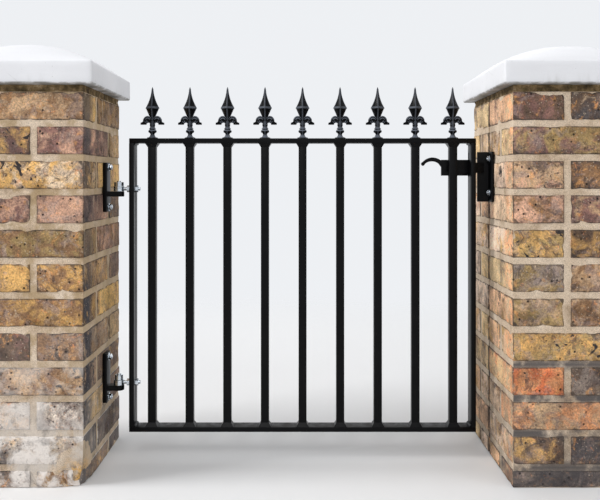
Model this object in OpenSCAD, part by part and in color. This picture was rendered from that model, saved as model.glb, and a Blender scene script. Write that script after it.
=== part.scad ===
// Garden gate of black flat and square bar between two brick piers with domed caps.
// Millimetres. X runs across the opening, Y runs from the street into the garden, Z is up.
// The origin is on the ground at the middle of the opening and of the right pier's depth.

/* [Piers] */

// Clear width between the two piers
opening = 974; // [850:1:1300]
// Width of each pier across its front
pier_width = 343; // [215:1:450]
// Depth of the left pier
left_pier_depth = 343; // [260:1:400]
// Depth of the front part of the right pier, up to its straight joint
right_front_depth = 222; // [150:1:280]
// Depth of the rear part of the right pier, behind the straight joint
right_rear_depth = 178; // [150:1:260]
// Width of the straight joint where the two parts of the right pier meet
straight_joint = 9; // [4:0.5:14]
// Depth of the straight joint's groove
straight_joint_groove = 4; // [1:0.5:10]
// Height of the brickwork from the ground to the bed under the cap
brick_height = 901; // [700:1:1200]
// Thickness of the mortar bed under each cap
bed_thickness = 16; // [8:1:25]
// Distance that the mortar bed stays behind the brick face
bed_inset = 2; // [0.5:0.5:6]

/* [Caps] */

// Distance that each cap reaches past its pier on every side
cap_overhang = 25; // [15:1:30]
// Height of the upright edge of each cap
cap_edge = 53; // [30:1:80]
// Rise of the domed top above the upright edge
cap_rise = 63; // [30:1:90]

/* [Gate frame] */

// Gap from the left pier to the hinge stile
hinge_gap = 64.6; // [60:0.1:80]
// Gap from the latch stile to the right pier
latch_gap = 44.8; // [42:0.1:50]
// Height of the gate's underside above the ground
ground_gap = 72; // [40:1:120]
// Height of the gate frame
frame_height = 732; // [650:1:780]
// Depth of the flat bar of the frame, from front to back
frame_depth = 40; // [36:1:45]
// Thickness of the flat bar of the frame
frame_thickness = 12; // [8:0.5:14]
// Distance from the front face of the piers to the front of the gate
gate_setback = 168; // [120:1:180]
// Side of the square bars
bar_size = 20; // [16:1:22]
// Distance from the frame's inner faces to the centre of the outer bars
bar_end_gap = 43.4; // [38:0.2:46]
// Width of the weld collars where they meet a rail
collar_size = 32; // [26:1:34]
// Height of the weld collars
collar_height = 10; // [5:0.5:16]

/* [Railheads] */

// Height of a railhead above the top rail
finial_height = 130; // [115:1:135]
// Diameter of the foot of a railhead
foot_diameter = 27; // [25:0.5:30]
// Thickness of the foot
foot_thickness = 2; // [1.5:0.25:3]
// Height at which the flare above the foot ends
flare_top = 10; // [9.5:0.25:10.5]
// Width of the small steps where a flare starts and ends
flare_step = 0.5; // [0.25:0.25:1]
// Diameter of the neck that runs through the stem
neck_diameter = 10; // [9:0.5:11]
// Diameter of the bulb on the stem
bulb_diameter = 21; // [18:0.5:23]
// Thickness of the bulb's round edge
bulb_thickness = 8; // [6:0.5:9]
// Height of the middle of the bulb
bulb_level = 18; // [17:0.25:18.5]
// Height at which the cone under the bulb starts
bulb_root = 11.5; // [11:0.25:12.5]
// Width of the ledge that the bulb's round edge stands out over that cone
bulb_ledge = 1.5; // [1:0.25:2.5]
// Diameter of the ring above the bulb
ring_diameter = 17; // [14:0.5:18]
// Height of the middle of the ring
ring_level = 24.25; // [24:0.25:25]
// Thickness of the ring
ring_thickness = 3.5; // [3:0.25:4]
// Width of the flare where it leaves the ring
neck_flare = 14.5; // [12:0.5:15]
// Height at which that flare has run out into the neck
neck_flare_top = 36; // [33:0.5:38]
// Width over the tips of the two leaves
leaf_span = 59; // [56:0.5:62]
// Height of the top of the leaves
leaf_top = 57; // [55:0.5:59]
// Radius of a leaf's round lobe
leaf_radius = 12; // [11.5:0.25:12.5]
// Distance that a lobe reaches past the stem's middle
leaf_overlap = 0.5; // [0.4:0.1:1]
// Thickness of a lobe at its ridge, from front to back
leaf_thickness = 9.5; // [8:0.5:11]
// Radius of that ridge
ridge_radius = 5; // [4:0.25:6]
// Thickness of a lobe at its middle and in the groove outside the ridge
groove_thickness = 6.5; // [5:0.5:7.5]
// Radius of the groove
groove_radius = 7.5; // [7:0.25:8]
// Thickness of the roll outside the groove
roll_thickness = 8; // [7:0.5:9]
// Radius of the roll
roll_radius = 9.5; // [9:0.25:10]
// Thickness of a leaf at its rim
leaf_edge = 2.4; // [1.5:0.1:4]
// Radius of the arch under a leaf
arch_radius = 8.5; // [8:0.25:9]
// Height of the top of that arch
arch_top = 42; // [40.5:0.25:43]
// Distance from the stem's middle to the middle of the arch
arch_reach = 12.2; // [11.8:0.1:12.8]
// Height of a leaf's turned-out tip
tip_level = 36; // [35:0.25:37]
// Height of the blunt end of that tip
tip_height = 1.2; // [0.8:0.1:2]
// Radius of the hollow over the tip
tip_hollow = 8; // [7.5:0.25:8.5]
// Distance that the middle of that hollow lies past the tip
tip_lean = 1.3; // [1:0.1:1.8]
// Thickness of a tip at its root, from front to back
tip_thickness = 7; // [6:0.5:8]
// Width of the spear over its widest arrises
spear_width = 35; // [31:1:37]
// Height at which the spear leaves the neck
spear_base = 42; // [40:0.5:46]
// Distance that the arrises of the spear's foot lie inside the neck
spear_root = 1; // [0.5:0.25:2]
// Height at which the spear begins to widen
spear_waist = 58; // [55:0.5:60]
// Width of the spear over its arrises at the waist
spear_waist_width = 12.5; // [11:0.5:15]
// Height of the lower edge of the band round the spear's widest part
band_level = 75.5; // [73:0.5:78]
// Height of the band's upright edge
band_height = 2; // [1.5:0.25:3]
// Distance that the band stands out over the faces under it
band_lip = 0.8; // [0.5:0.1:1.5]
// Height of the slope on top of the band
band_slope = 4; // [3:0.25:5]
// Distance that this slope runs inwards
band_ledge = 2; // [1.5:0.1:2.5]
// Height below the point at which the hollow flanks end
point_length = 6; // [4:0.5:9]
// Width of the spear over its arrises where the point begins
point_width = 4.5; // [4:0.25:7]
// Depth of the hollow in the spear's flanks
flank_hollow = 1.7; // [1:0.1:2]

/* [Hinges] */

// Distance from the left pier to the hinge axis
pin_offset = 36; // [35.5:0.1:38]
// Diameter of the hinge pins
pin_diameter = 10; // [8:0.5:12]
// Play between a pin and its eye, all round
pin_play = 0.3; // [0.2:0.05:0.5]
// Play above and below an eye
eye_play = 0.5; // [0.3:0.1:1]
// Distance from the gate's top down to the upper eye's centre
upper_eye_drop = 126; // [112:1:170]
// Height of the lower eye's centre above the gate's underside
lower_eye_level = 121; // [110:1:160]
// Outer diameter of an eye
eye_diameter = 26; // [22:0.5:28]
// Height of an eye
eye_height = 12; // [10:0.5:14]
// Diameter of an eye bolt's shank
shank_diameter = 9; // [8:0.5:10]
// Length of the shank past its inner nut
shank_end = 5; // [4:0.5:12]
// Width of the nuts across their flats
nut_flats = 15; // [13:0.5:17]
// Thickness of the nuts
nut_thickness = 8; // [6:0.5:9]
// Diameter of the flange on the outer nut
nut_flange = 20; // [18:0.5:24]
// Thickness of that flange
nut_flange_thickness = 2; // [1:0.25:3]
// Play between the shank and its hole in the stile, all round
shank_play = 0.5; // [0.2:0.1:1]
// Height of a hinge plate
plate_height = 123; // [115:1:130]
// Width of a hinge plate
plate_width = 38; // [34:1:42]
// Thickness of a hinge plate
plate_thickness = 10; // [6:0.5:12]
// Distance from the upper plate's middle down to its eye's centre
upper_plate_drop = 4; // [0:0.5:10]
// Distance from the lower plate's middle down to its eye's centre
lower_plate_drop = 13.5; // [0:0.5:18]
// Diameter of the lug's round end
lug_diameter = 26; // [20:0.5:28]
// Height of the lug
lug_height = 13; // [10:0.5:16]
// Diameter of the collar on the upper pin
upper_collar_diameter = 24; // [18:0.5:26]
// Height of the collar on the upper pin
upper_collar_height = 10; // [8:0.5:14]
// Diameter of the collar on the lower pin
lower_collar_diameter = 20; // [14:0.5:22]
// Height of the collar on the lower pin
lower_collar_height = 12; // [8:0.5:14]
// Height of the pin's end above the collar
pin_nub = 3; // [1:0.5:5]

/* [Latch] */

// Distance from the gate's top down to the latch pivot
latch_drop = 73; // [68:1:92]
// Thickness of the latch lever
lever_thickness = 6; // [5:0.5:8]
// Gap between the bar and the lever
lever_gap = 2; // [1:0.25:3]
// Height of the lever's plate
lever_height = 40; // [34:1:42]
// Distance from the pivot to the plate's left end
lever_left = 26.3; // [22:0.1:30]
// Distance that the plate's right end stays inside the latch stile's outer face
lever_inset = 2; // [1:0.25:4]
// Height of the tongue
tongue_height = 26; // [20:1:30]
// Distance that the tongue reaches past the latch stile
tongue_reach = 26; // [24:0.5:28]
// Radius of the curl's middle line
curl_radius = 30; // [27:0.5:32]
// Width of the curl
curl_width = 10; // [8:0.5:12]
// Distance from the plate's left end to the curl's centre
curl_offset = 22.5; // [21:0.5:24]
// Height of the curl's top above the plate's top
curl_rise = 6; // [4:0.5:8]
// Angle that the curl runs past its top, down to its bulb
curl_sweep = 52; // [45:1:60]
// Diameter of the bulb at the end of the curl
curl_bulb = 13; // [12:0.5:15]
// Diameter of the latch pivot
pivot_diameter = 8; // [6:0.5:10]
// Diameter of the pivot's head
pivot_head = 16; // [14:0.5:20]
// Thickness of the pivot's head
pivot_head_thickness = 4; // [3:0.5:6]
// Play of the lever on its pivot, all round
pivot_play = 0.3; // [0.2:0.05:0.5]
// Play in front of and behind the lever on its pivot
lever_play = 0.3; // [0.2:0.1:0.8]
// Largest angle that the latch lifts
latch_lift = 15; // [10:1:16]
// Clearance of the tongue in the stile's slot, all round
slot_play = 2; // [1:0.25:2.5]

/* [Keep] */

// Height of the keep
keep_height = 126; // [110:1:140]
// Width of the keep's leg on the pier
keep_width = 40; // [36:1:45]
// Thickness of the keep's flat bar
keep_thickness = 6; // [5:0.5:8]
// Distance that the keep's stop leg stands out from the pier
keep_reach = 34; // [30:0.5:36]
// Gap between the tongue and the stop leg with the gate shut
stop_gap = 0.3; // [0.2:0.1:1]
// Distance from the keep's underside up to the latch pivot's level
keep_drop = 86; // [76:1:96]

/* [Hidden] */

$fn = 96;
BARS = 9;

brick = [0.62, 0.5, 0.36];
render_white = [0.85, 0.85, 0.87];
mortar = [0.42, 0.42, 0.36];
black_paint = [0.07, 0.07, 0.07];
zinc = [0.68, 0.7, 0.72];

// Through cuts start and end this far outside what they cut
past = 1;

right_pier_depth = right_front_depth + right_rear_depth;
front = -right_pier_depth / 2;
inner = opening / 2;
pier_top = brick_height + bed_thickness;

gate_left = hinge_gap - inner;
gate_right = inner - latch_gap;
gate_front = front + gate_setback;
gate_back = gate_front + frame_depth;
gate_top = ground_gap + frame_height;
frame_inner_left = gate_left + frame_thickness;
frame_inner_right = gate_right - frame_thickness;
rail_under = gate_top - frame_thickness;
rail_over = ground_gap + frame_thickness;
bar_line = gate_front + collar_size / 2;
first_bar = frame_inner_left + bar_end_gap;
bar_pitch = (frame_inner_right - frame_inner_left - 2 * bar_end_gap) / (BARS - 1);

pin_x = pin_offset - inner;
upper_eye = gate_top - upper_eye_drop;
lower_eye = ground_gap + lower_eye_level;

pivot_x = first_bar + (BARS - 1) * bar_pitch;
pivot_z = gate_top - latch_drop;
bar_back = bar_line + bar_size / 2;
lever_front = bar_back + lever_gap;
lever_back = lever_front + lever_thickness;
tongue_end = gate_right + tongue_reach;
slot_bottom = pivot_z - lever_height / 2 - slot_play;
slot_reach = gate_right - pivot_x;
slot_top = pivot_z + lever_height / 2 / cos(latch_lift) + slot_reach * tan(latch_lift) + slot_play;

stop_front = lever_back + stop_gap;
stop_back = stop_front + keep_thickness;

// Radius of the hollow arc from p to q that lies s inside the straight line
function arc_radius(p, q, s) = (pow(norm(q - p), 2) / 4 + s * s) / (2 * s);

// Centre of that arc, on the outer side of the line
function arc_centre(p, q, s) =
  (p + q) / 2 + [q[1] - p[1], p[0] - q[0]] / norm(q - p) * (arc_radius(p, q, s) - s);

// Box given by its low and its high corner
module box(low, high) {
  translate(low) cube(high - low);
}

// Hexagonal prism from three crossed slabs, standing on the XY plane
module hexagon(flats, height) {
  long = 2 * flats;
  intersection_for(turn = [0, 60, 120])
    rotate(turn)
      translate([-long / 2, -flats / 2, 0]) cube([long, flats, height]);
}

module left_pier() {
  color(brick)
    box([-inner - pier_width, front, 0], [-inner, front + left_pier_depth, brick_height]);
}

// The groove of the straight joint shows on both side faces of the right pier
module right_pier() {
  joint = front + right_front_depth;
  color(brick)
    difference() {
      box([inner, front, 0], [inner + pier_width, -front, brick_height]);
      box([inner - past, joint, -past],
          [inner + straight_joint_groove, joint + straight_joint, brick_height + past]);
      box([inner + pier_width - straight_joint_groove, joint, -past],
          [inner + pier_width + past, joint + straight_joint, brick_height + past]);
    }
}

module left_cap_bedding() {
  color(mortar)
    box([-inner - pier_width + bed_inset, front + bed_inset, brick_height],
        [-inner - bed_inset, front + left_pier_depth - bed_inset, pier_top]);
}

module right_cap_bedding() {
  color(mortar)
    box([inner + bed_inset, front + bed_inset, brick_height],
        [inner + pier_width - bed_inset, -front - bed_inset, pier_top]);
}

// Upright edge with a circular arc over it, as seen from one side of a cap
module cap_outline(width) {
  reach = cap_edge + cap_rise;
  radius = (width * width / 4 + cap_rise * cap_rise) / (2 * cap_rise);
  intersection() {
    translate([-width / 2, 0]) square([width, reach + past]);
    translate([0, reach - radius]) circle(r = radius);
  }
}

// Two arched extrusions crossed at right angles leave the domed top with its four curved hips
module pier_cap(depth) {
  wide = pier_width + 2 * cap_overhang;
  deep = depth + 2 * cap_overhang;
  intersection() {
    rotate([90, 0, 0])
      translate([0, 0, -deep / 2]) linear_extrude(deep) cap_outline(wide);
    rotate([90, 0, 90])
      translate([0, 0, -wide / 2]) linear_extrude(wide) cap_outline(deep);
  }
}

module left_pier_cap() {
  color(render_white)
    translate([-inner - pier_width / 2, front + left_pier_depth / 2, pier_top])
      pier_cap(left_pier_depth);
}

module right_pier_cap() {
  color(render_white)
    translate([inner + pier_width / 2, 0, pier_top]) pier_cap(right_pier_depth);
}

// Plate on the pier with a round-ended lug that carries the pin
module hinge_bracket(eye, drop) {
  lug_top = eye - eye_height / 2 - eye_play;
  middle = eye + drop;
  color(black_paint)
    difference() {
      union() {
        box([-inner, bar_line - plate_width / 2, middle - plate_height / 2],
            [plate_thickness - inner, bar_line + plate_width / 2, middle + plate_height / 2]);
        box([plate_thickness / 2 - inner, bar_line - lug_diameter / 2, lug_top - lug_height],
            [pin_x, bar_line + lug_diameter / 2, lug_top]);
        translate([pin_x, bar_line, lug_top - lug_height])
          cylinder(d = lug_diameter, h = lug_height);
      }
      translate([pin_x, bar_line, lug_top - lug_height - past])
        cylinder(d = pin_diameter, h = lug_height + 2 * past);
    }
}

module upper_hinge_bracket() {
  hinge_bracket(upper_eye, upper_plate_drop);
}

module lower_hinge_bracket() {
  hinge_bracket(lower_eye, lower_plate_drop);
}

// Pin from the lug's underside to a collar above the eye
module hinge_pin(eye, collar_diameter, collar_height) {
  foot = eye - eye_height / 2 - eye_play - lug_height;
  collar = eye + eye_height / 2 + eye_play;
  color(zinc)
    translate([pin_x, bar_line, 0]) {
      translate([0, 0, foot])
        cylinder(d = pin_diameter, h = collar + collar_height + pin_nub - foot);
      translate([0, 0, collar]) cylinder(d = collar_diameter, h = collar_height);
    }
}

module upper_hinge_pin() {
  hinge_pin(upper_eye, upper_collar_diameter, upper_collar_height);
}

module lower_hinge_pin() {
  hinge_pin(lower_eye, lower_collar_diameter, lower_collar_height);
}

// Angle on the right pier, with its stop leg behind the tongue
module latch_keep() {
  low = pivot_z - keep_drop;
  color(black_paint)
    union() {
      box([inner - keep_thickness, stop_back - keep_width, low],
          [inner, stop_back, low + keep_height]);
      box([inner - keep_reach, stop_front, low], [inner, stop_back, low + keep_height]);
    }
}

module top_rail() {
  color(black_paint)
    box([gate_left, gate_front, rail_under], [gate_right, gate_back, gate_top]);
}

module bottom_rail() {
  color(black_paint)
    box([gate_left, gate_front, ground_gap], [gate_right, gate_back, rail_over]);
}

// Stile with a hole for each eye bolt
module hinge_stile() {
  hole = shank_diameter + 2 * shank_play;
  color(black_paint)
    difference() {
      box([gate_left, gate_front, rail_over], [frame_inner_left, gate_back, rail_under]);
      for (eye = [upper_eye, lower_eye])
        translate([gate_left - past, bar_line, eye])
          rotate([0, 90, 0]) cylinder(d = hole, h = frame_thickness + 2 * past);
    }
}

// Stile with the slot that guides the lever
module latch_stile() {
  color(black_paint)
    difference() {
      box([frame_inner_right, gate_front, rail_over], [gate_right, gate_back, rail_under]);
      box([frame_inner_right - past, lever_front - slot_play, slot_bottom],
          [gate_right + past, lever_back + slot_play, slot_top]);
    }
}

module square_bar(i) {
  x = first_bar + (i - 1) * bar_pitch;
  half = bar_size / 2;
  color(black_paint)
    box([x - half, bar_line - half, rail_over], [x + half, bar_line + half, rail_under]);
}

module bar_1() {
  square_bar(1);
}

module bar_2() {
  square_bar(2);
}

module bar_3() {
  square_bar(3);
}

module bar_4() {
  square_bar(4);
}

module bar_5() {
  square_bar(5);
}

module bar_6() {
  square_bar(6);
}

module bar_7() {
  square_bar(7);
}

module bar_8() {
  square_bar(8);
}

module bar_9() {
  square_bar(9);
}

// Sloping collar of weld round the end of a bar, widest on the XY plane
module weld_collar() {
  intersection_for(turn = [0, 90])
    rotate(turn)
      translate([0, collar_size / 2, 0])
        rotate([90, 0, 0])
          linear_extrude(collar_size)
            polygon([
              [-collar_size / 2, 0], [collar_size / 2, 0],
              [bar_size / 2, collar_height], [-bar_size / 2, collar_height]
            ]);
}

module weld_collars(level, turn) {
  color(black_paint)
    for (i = [0 : BARS - 1])
      translate([first_bar + i * bar_pitch, bar_line, level])
        rotate([turn, 0, 0])
          difference() {
            weld_collar();
            translate([-bar_size / 2, -bar_size / 2, -past])
              cube([bar_size, bar_size, collar_height + 2 * past]);
          }
}

module upper_weld_collars() {
  weld_collars(rail_under, 180);
}

module lower_weld_collars() {
  weld_collars(rail_over, 0);
}

// Region left of a circle that hollows the side of a flare, w wide where it starts
module flare(w, narrow, low, high) {
  rise = high - low;
  widen = w - narrow;
  radius = (rise * rise + widen * widen) / (2 * widen);
  difference() {
    translate([0, low]) square([w, rise]);
    translate([narrow + radius, high]) circle(r = radius);
  }
}

// Turned stem: foot, hollow flare, bulb on its cone, ring, second flare and neck
module finial_stem() {
  neck = neck_diameter / 2;
  flare_radius = flare_top - foot_thickness - flare_step;
  flare_reach = neck + flare_step + flare_radius;
  bulb = bulb_thickness / 2;
  ring = ring_thickness / 2;
  rotate(70)
    rotate_extrude()
      union() {
        square([foot_diameter / 2, foot_thickness]);
        difference() {
          square([flare_reach, flare_top]);
          translate([flare_reach, flare_top]) circle(r = flare_radius);
        }
        polygon([
          [0, bulb_root], [neck + flare_step, bulb_root],
          [bulb_diameter / 2 - bulb_ledge, bulb_level], [0, bulb_level]
        ]);
        translate([bulb_diameter / 2 - bulb, bulb_level]) circle(r = bulb);
        translate([ring_diameter / 2 - ring, ring_level]) circle(r = ring);
        flare(neck_flare / 2, neck + flare_step, ring_level, neck_flare_top);
        square([neck, spear_base + past]);
      }
}

// Section of a leaf's lobe from its middle out to its rim, with a ridge, a groove and a roll
function lobe_side(side) = [
  [0, side * groove_thickness / 2], [ridge_radius / 2, side * groove_thickness / 2],
  [ridge_radius, side * leaf_thickness / 2], [groove_radius, side * groove_thickness / 2],
  [roll_radius, side * roll_thickness / 2], [leaf_radius, side * leaf_edge / 2]
];

// Turned-out tip of a leaf, hollowed above and tapering towards its end
module leaf_tip(root, tip) {
  intersection() {
    rotate([90, 0, 0])
      translate([0, 0, -leaf_thickness])
        linear_extrude(2 * leaf_thickness)
          difference() {
            translate([root, tip_level]) square([tip - root, leaf_top - leaf_radius - tip_level]);
            translate([tip + tip_lean,
                       tip_level + tip_height + sqrt(pow(tip_hollow, 2) - pow(tip_lean, 2))])
              circle(r = tip_hollow);
          }
    linear_extrude(leaf_top)
      polygon([
        [root, -tip_thickness / 2], [tip, -tip_height], [tip, tip_height],
        [root, tip_thickness / 2]
      ]);
  }
}

// One curled leaf on the +X side: a round lobe and its tip over an arch
module finial_leaf() {
  centre = leaf_radius - leaf_overlap;
  level = leaf_top - leaf_radius;
  below = lobe_side(-1);
  above = lobe_side(1);
  difference() {
    union() {
      translate([centre, 0, level])
        rotate([90, 0, 0])
          rotate(200)
            rotate_extrude()
              polygon(concat(below, [for (i = [5 : -1 : 0]) above[i]]));
      leaf_tip(centre + leaf_radius / 2, leaf_span / 2);
    }
    translate([arch_reach, leaf_thickness, arch_top - arch_radius])
      rotate([90, 0, 0]) cylinder(r = arch_radius, h = 2 * leaf_thickness);
  }
}

// Half of the spear's outline, seen square on to a face
module spear_outline() {
  face = spear_width / 2 / sqrt(2);
  waist = spear_waist_width / 2 / sqrt(2);
  tip = point_width / 2 / sqrt(2);
  base = (neck_diameter / 2 - spear_root) / sqrt(2);
  under = face - band_lip;
  edge_top = band_level + band_height;
  shoulder = [face - band_ledge, edge_top + band_slope];
  point = [tip, finial_height - point_length];
  hollow = arc_centre(shoulder, point, flank_hollow);
  difference() {
    polygon([
      [-base, spear_base], [base, spear_base], [waist, spear_waist], [under, band_level],
      [face, band_level], [face, edge_top], shoulder, point, [0, finial_height],
      [-point[0], point[1]], [-shoulder[0], shoulder[1]], [-face, edge_top],
      [-face, band_level], [-under, band_level], [-waist, spear_waist]
    ]);
    for (side = [0, 1])
      mirror([side, 0])
        translate(hollow) circle(r = arc_radius(shoulder, point, flank_hollow), $fn = 360);
  }
}

// Four-sided spear with an arris to the front and hollow flanks
module finial_spear() {
  rotate(45)
    intersection_for(turn = [0, 90])
      rotate(turn)
        rotate([90, 0, 0])
          translate([0, 0, -spear_width / 2]) linear_extrude(spear_width) spear_outline();
}

module finial(i) {
  color(black_paint)
    translate([first_bar + (i - 1) * bar_pitch, bar_line, gate_top])
      union() {
        finial_stem();
        finial_leaf();
        rotate(180) finial_leaf();
        finial_spear();
      }
}

module finial_1() {
  finial(1);
}

module finial_2() {
  finial(2);
}

module finial_3() {
  finial(3);
}

module finial_4() {
  finial(4);
}

module finial_5() {
  finial(5);
}

module finial_6() {
  finial(6);
}

module finial_7() {
  finial(7);
}

module finial_8() {
  finial(8);
}

module finial_9() {
  finial(9);
}

// Eye on the pin with a shank through the hinge stile
module eye_bolt(eye) {
  shank_length = frame_inner_left + nut_thickness + shank_end - pin_x;
  color(zinc)
    translate([pin_x, bar_line, eye])
      difference() {
        union() {
          translate([0, 0, -eye_height / 2]) cylinder(d = eye_diameter, h = eye_height);
          rotate([0, 90, 0]) cylinder(d = shank_diameter, h = shank_length);
        }
        translate([0, 0, -eye_height / 2 - past])
          cylinder(d = pin_diameter + 2 * pin_play, h = eye_height + 2 * past);
      }
}

module upper_eye_bolt() {
  eye_bolt(upper_eye);
}

module lower_eye_bolt() {
  eye_bolt(lower_eye);
}

// Flanged nut on the outside of the stile and a plain nut on its inside
module eye_nuts(eye) {
  outer = gate_left - nut_thickness;
  color(zinc)
    difference() {
      union() {
        translate([outer, bar_line, eye])
          rotate([0, 90, 0]) hexagon(nut_flats, nut_thickness);
        translate([gate_left - nut_flange_thickness, bar_line, eye])
          rotate([0, 90, 0]) cylinder(d = nut_flange, h = nut_flange_thickness);
        translate([frame_inner_left, bar_line, eye])
          rotate([0, 90, 0]) hexagon(nut_flats, nut_thickness);
      }
      translate([outer - past, bar_line, eye])
        rotate([0, 90, 0])
          cylinder(d = shank_diameter,
                   h = frame_inner_left + nut_thickness + 2 * past - outer);
    }
}

module upper_eye_nuts() {
  eye_nuts(upper_eye);
}

module lower_eye_nuts() {
  eye_nuts(lower_eye);
}

// Pin on the back of the last bar with a head behind the lever
module latch_pivot() {
  length = lever_gap + lever_thickness + lever_play;
  color(black_paint)
    translate([pivot_x, bar_back, pivot_z])
      rotate([-90, 0, 0]) {
        cylinder(d = pivot_diameter, h = length + pivot_head_thickness);
        cylinder(d = pivot_head, h = lever_gap - lever_play);
        translate([0, 0, length]) cylinder(d = pivot_head, h = pivot_head_thickness);
      }
}

// Flat outline of the lever in X and Z, with the pivot at its origin
module lever_outline() {
  half = lever_height / 2;
  tongue = tongue_height / 2;
  right = gate_right - lever_inset - pivot_x;
  end = tongue_end - pivot_x;
  polygon([
    [-lever_left, -half], [right, -half], [right, -tongue], [end, -tongue], [end, tongue],
    [right, tongue], [right, half], [-lever_left, half]
  ]);
}

// Arc of the handle from the plate's top left corner over to its bulb
module curl_outline() {
  outer = curl_radius + curl_width / 2;
  hole = curl_radius - curl_width / 2;
  far = 2 * outer;
  start = 45;
  intersection() {
    difference() {
      circle(r = outer);
      circle(r = hole);
    }
    polygon([
      [0, 0], [far * cos(start), far * sin(start)], [0, far],
      [-far * sin(curl_sweep), far * cos(curl_sweep)]
    ]);
  }
}

// Plate with its tongue, curled handle and bulb
module latch_lever() {
  curl_x = -lever_left - curl_offset;
  curl_z = lever_height / 2 + curl_rise - curl_radius - curl_width / 2;
  color(black_paint)
    translate([pivot_x, lever_back, pivot_z])
      difference() {
        union() {
          rotate([90, 0, 0]) linear_extrude(lever_thickness) lever_outline();
          translate([curl_x, 0, curl_z])
            rotate([90, 0, 0]) linear_extrude(lever_thickness) curl_outline();
          translate([curl_x - curl_radius * sin(curl_sweep), -lever_thickness / 2,
                     curl_z + curl_radius * cos(curl_sweep)])
            sphere(d = curl_bulb);
        }
        rotate([90, 0, 0])
          translate([0, 0, -past])
            cylinder(d = pivot_diameter + 2 * pivot_play, h = lever_thickness + 2 * past);
      }
}

left_pier();
right_pier();
left_cap_bedding();
right_cap_bedding();
left_pier_cap();
right_pier_cap();
upper_hinge_bracket();
lower_hinge_bracket();
upper_hinge_pin();
lower_hinge_pin();
latch_keep();
top_rail();
bottom_rail();
hinge_stile();
latch_stile();
bar_1();
bar_2();
bar_3();
bar_4();
bar_5();
bar_6();
bar_7();
bar_8();
bar_9();
upper_weld_collars();
lower_weld_collars();
finial_1();
finial_2();
finial_3();
finial_4();
finial_5();
finial_6();
finial_7();
finial_8();
finial_9();
upper_eye_bolt();
lower_eye_bolt();
upper_eye_nuts();
lower_eye_nuts();
latch_pivot();
latch_lever();
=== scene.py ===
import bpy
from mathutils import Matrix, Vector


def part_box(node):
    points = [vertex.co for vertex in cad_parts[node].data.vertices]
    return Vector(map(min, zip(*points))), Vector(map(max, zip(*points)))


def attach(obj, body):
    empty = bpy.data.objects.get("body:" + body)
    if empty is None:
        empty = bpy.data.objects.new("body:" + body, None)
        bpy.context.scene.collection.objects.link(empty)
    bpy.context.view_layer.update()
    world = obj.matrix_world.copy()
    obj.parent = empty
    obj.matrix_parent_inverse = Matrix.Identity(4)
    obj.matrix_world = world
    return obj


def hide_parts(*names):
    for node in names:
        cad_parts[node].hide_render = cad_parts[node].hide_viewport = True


bl_info = {
    "name": "Iron Gate",
    "version": (1, 0, 0),
    "blender": (4, 5, 0),
    "location": "View3D > Sidebar > Gate",
    "description": "Dresses an iron garden gate and its brick piers",
    "category": "Object",
}

import math
import random

import bmesh
import bpy
from bpy.props import FloatProperty, FloatVectorProperty, IntProperty, PointerProperty
from bpy.types import Operator, Panel, PropertyGroup
from mathutils import Matrix, Vector, noise

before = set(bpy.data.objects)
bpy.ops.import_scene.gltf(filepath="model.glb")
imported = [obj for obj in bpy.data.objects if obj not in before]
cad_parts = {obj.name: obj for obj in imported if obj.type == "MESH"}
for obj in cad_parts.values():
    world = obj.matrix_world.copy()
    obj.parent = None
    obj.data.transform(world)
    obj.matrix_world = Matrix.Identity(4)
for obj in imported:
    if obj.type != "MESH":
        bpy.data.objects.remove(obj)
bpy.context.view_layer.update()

MM = 0.001

# Places on the gate, read from the frame
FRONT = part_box("left_pier")[0].y
CAP_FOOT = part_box("left_pier_cap")[0].z
RAILHEAD_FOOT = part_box("finial_1")[0].z
# Heights between which the piers' front arrises in the gateway turn stained
STAINED_FROM, STAINED_TO = 0.60, 0.42


# Shader maths

class Value:
    """A node socket that takes part in Python arithmetic; each operation adds its Math node."""

    def __init__(self, nodes, socket):
        self.nodes = nodes
        self.socket = socket

    def math(self, operation, *values):
        return self.nodes.node("ShaderNodeMath", {"operation": operation}, dict(enumerate(values)))

    def __add__(self, other):
        return self.math("ADD", self, other)

    def __sub__(self, other):
        return self.math("SUBTRACT", self, other)

    def __rsub__(self, other):
        return self.math("SUBTRACT", other, self)

    def __mul__(self, other):
        return self.math("MULTIPLY", self, other)

    def __abs__(self):
        return self.math("ABSOLUTE", self)

    __radd__ = __add__
    __rmul__ = __mul__

    def most(self, other):
        """The larger of two values."""
        return self.math("MAXIMUM", self, other)

    def step(self, low, high):
        """0 below low, 1 above high and smooth between; reversed where low is the larger."""
        return self.nodes.node("ShaderNodeMapRange", {"interpolation_type": "SMOOTHSTEP"},
                               {"Value": self, "From Min": low, "From Max": high})


class Nodes:
    """A node tree, with one method that adds any node."""

    def __init__(self, tree):
        self.tree = tree

    def find(self, kind):
        """The tree's first node of one type."""
        return next(n for n in self.tree.nodes if n.type == kind)

    def node(self, kind, settings=None, values=None, output=0):
        """Adds a node, sets its settings or ramp stops, feeds its sockets; returns an output."""
        node = self.tree.nodes.new(kind)
        for key, value in (settings or {}).items():
            if key == "stops":
                ramp = node.color_ramp
                while len(ramp.elements) < len(value):
                    ramp.elements.new(0.5)
                for element, (position, colour) in zip(ramp.elements, value):
                    element.position = position
                    element.color = (*colour, 1.0)
            else:
                setattr(node, key, value)
        for key, value in (values or {}).items():
            self.feed(node.inputs[key], value)
        return Value(self, node.outputs[output])

    def feed(self, socket, value):
        """Links a value to a socket, or writes a number or colour into it."""
        if isinstance(value, Value):
            self.tree.links.new(value.socket, socket)
        elif isinstance(value, tuple) and socket.type == "RGBA":
            socket.default_value = (*value[:3], 1.0)
        else:
            socket.default_value = value


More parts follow.
